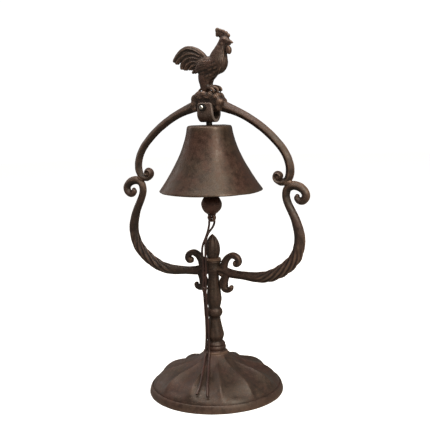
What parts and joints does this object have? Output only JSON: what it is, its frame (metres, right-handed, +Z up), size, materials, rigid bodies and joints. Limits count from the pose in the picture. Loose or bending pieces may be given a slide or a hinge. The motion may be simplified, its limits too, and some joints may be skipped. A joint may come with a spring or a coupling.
{
  "type": "yard dinner bell",
  "caption": "Cast-iron dinner bell hung in a lyre-shaped table stand with a cockerel on top, a round ribbed base and a leather lace to swing the clapper.",
  "frame": {"origin": "centre of the round base's underside, on the surface it stands on", "axes": "+Z up; the lyre stands in the XZ plane; +X is the way the cockerel faces; -Y is the front, where the lace hangs"},
  "size_m": [0.2056, 0.134, 0.3558],
  "materials": {
    "brown_iron": "rust-brown waxed casting",
    "bell_iron": "rust-brown waxed casting",
    "ball_iron": "dark oiled casting",
    "strap_iron": "paler brown strap",
    "dark_steel": "blackened",
    "bare_steel": "bare, satin",
    "lace_leather": "dark reddish-brown waxed bootlace"
  },
  "bodies": {
    "stand": {"base_dish": "brown_iron", "stem_column": "brown_iron", "bud_finial": "brown_iron", "lyre_arm_left": "brown_iron", "lyre_arm_right": "brown_iron", "hub_scroll_left": "brown_iron", "hub_scroll_right": "brown_iron", "hub_hook_left": "brown_iron", "hub_hook_right": "brown_iron", "arch_left": "brown_iron", "arch_right": "brown_iron", "rock_crown": "brown_iron", "cockerel": "brown_iron", "stem_bolt": "bare_steel", "stem_washer": "bare_steel", "pivot_bolt": "bare_steel", "pivot_nut": "dark_steel"},
    "bell": {"clevis": "strap_iron", "hanger_spacer": "dark_steel", "hanger_nut": "dark_steel", "hanger_washer": "dark_steel", "hanger_eyebolt": "dark_steel", "bell_shell": "bell_iron"},
    "clapper_link": {"clapper_link": "dark_steel"},
    "clapper": {"clapper_rod": "ball_iron", "clapper_ball": "ball_iron", "lace_hitch": "lace_leather", "lace_strand_left": "lace_leather", "lace_strand_right": "lace_leather", "lace_knot": "lace_leather"}
  },
  "joints": [
    {"name": "bell_swing", "type": "hinge", "parent": "stand", "child": "bell", "pos_m": [0, 0, 0.282], "axis": [0, 1, 0], "range_deg": [-10, 10]},
    {"name": "clapper_swivel", "type": "hinge", "parent": "bell", "child": "clapper_link", "pos_m": [0, 0, 0.2449], "axis": [0, 0, 1], "range_deg": [-40, 40], "deforming": ["lace_hitch", "lace_strand_left", "lace_strand_right", "lace_knot"]},
    {"name": "clapper_swing", "type": "hinge", "parent": "clapper_link", "child": "clapper", "pos_m": [0, 0, 0.2394], "axis": [0, 1, 0], "range_deg": [-41.5, 41.5], "deforming": ["lace_hitch", "lace_strand_left", "lace_strand_right", "lace_knot"]}
  ]
}
